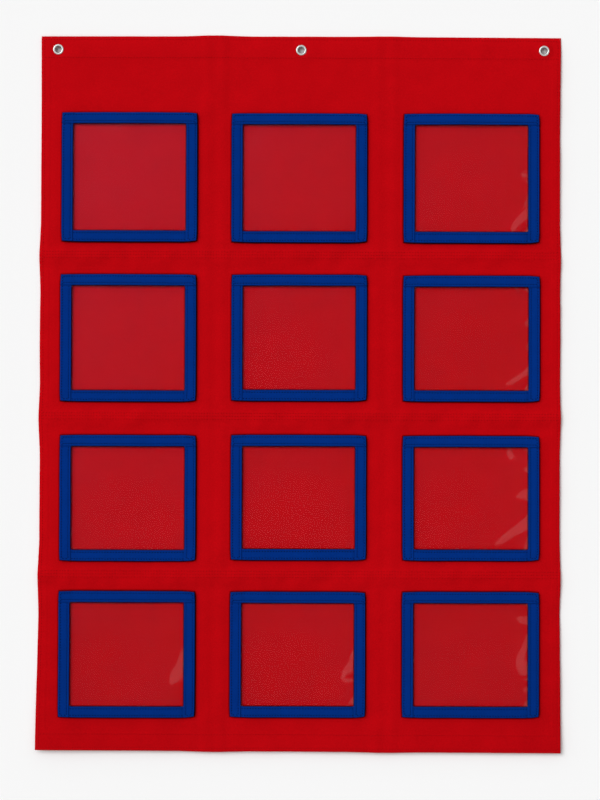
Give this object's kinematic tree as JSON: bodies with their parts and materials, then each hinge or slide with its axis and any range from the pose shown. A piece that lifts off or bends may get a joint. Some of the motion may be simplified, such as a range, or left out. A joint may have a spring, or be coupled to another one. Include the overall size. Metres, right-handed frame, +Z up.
{
  "type": "pocket chart",
  "caption": "Hanging pocket chart: red canvas back in sewn rows, clear vinyl pockets bound in blue tape, metal eyelets along the top hem.",
  "frame": {"origin": "on the axis of the middle eyelet, in the plane where the back of the chart touches the wall", "axes": "+Z up the hanging chart, towards its eyelets; +X to the right as seen from the front; the pockets face -Y"},
  "size_m": [0.66, 0.0099, 0.9046],
  "materials": {
    "cloth": "matt red cotton canvas, plain weave",
    "tape": "matt blue grosgrain binding tape, sewn in two rows",
    "vinyl": "clear soft vinyl sheet, glossy with small wrinkles",
    "nickel": "bright nickel plate"
  },
  "bodies": {
    "top_row": {"top_row_cloth": "cloth", "eyelet_left": "nickel", "washer_left": "nickel", "eyelet_middle": "nickel", "washer_middle": "nickel", "eyelet_right": "nickel", "washer_right": "nickel", "window_r1_c1": "vinyl", "edge_tape_r1_c1": "tape", "mouth_tape_r1_c1": "tape", "window_r1_c2": "vinyl", "edge_tape_r1_c2": "tape", "mouth_tape_r1_c2": "tape", "window_r1_c3": "vinyl", "edge_tape_r1_c3": "tape", "mouth_tape_r1_c3": "tape"},
    "second_row": {"second_row_cloth": "cloth", "window_r2_c1": "vinyl", "edge_tape_r2_c1": "tape", "mouth_tape_r2_c1": "tape", "window_r2_c2": "vinyl", "edge_tape_r2_c2": "tape", "mouth_tape_r2_c2": "tape", "window_r2_c3": "vinyl", "edge_tape_r2_c3": "tape", "mouth_tape_r2_c3": "tape"},
    "third_row": {"third_row_cloth": "cloth", "window_r3_c1": "vinyl", "edge_tape_r3_c1": "tape", "mouth_tape_r3_c1": "tape", "window_r3_c2": "vinyl", "edge_tape_r3_c2": "tape", "mouth_tape_r3_c2": "tape", "window_r3_c3": "vinyl", "edge_tape_r3_c3": "tape", "mouth_tape_r3_c3": "tape"},
    "bottom_row": {"bottom_row_cloth": "cloth", "window_r4_c1": "vinyl", "edge_tape_r4_c1": "tape", "mouth_tape_r4_c1": "tape", "window_r4_c2": "vinyl", "edge_tape_r4_c2": "tape", "mouth_tape_r4_c2": "tape", "window_r4_c3": "vinyl", "edge_tape_r4_c3": "tape", "mouth_tape_r4_c3": "tape"}
  },
  "joints": [
    {"name": "fold_top_seam", "type": "hinge", "parent": "top_row", "child": "second_row", "pos_m": [0, -0.004, -0.2638], "axis": [-1, 0, 0], "range_deg": [0, 140]},
    {"name": "fold_middle_seam", "type": "hinge", "parent": "second_row", "child": "third_row", "pos_m": [0, -0.0018, -0.4684], "axis": [1, 0, 0], "range_deg": [0, 160]},
    {"name": "fold_bottom_seam", "type": "hinge", "parent": "third_row", "child": "bottom_row", "pos_m": [0, -0.004, -0.6681], "axis": [-1, 0, 0], "range_deg": [0, 140]}
  ]
}
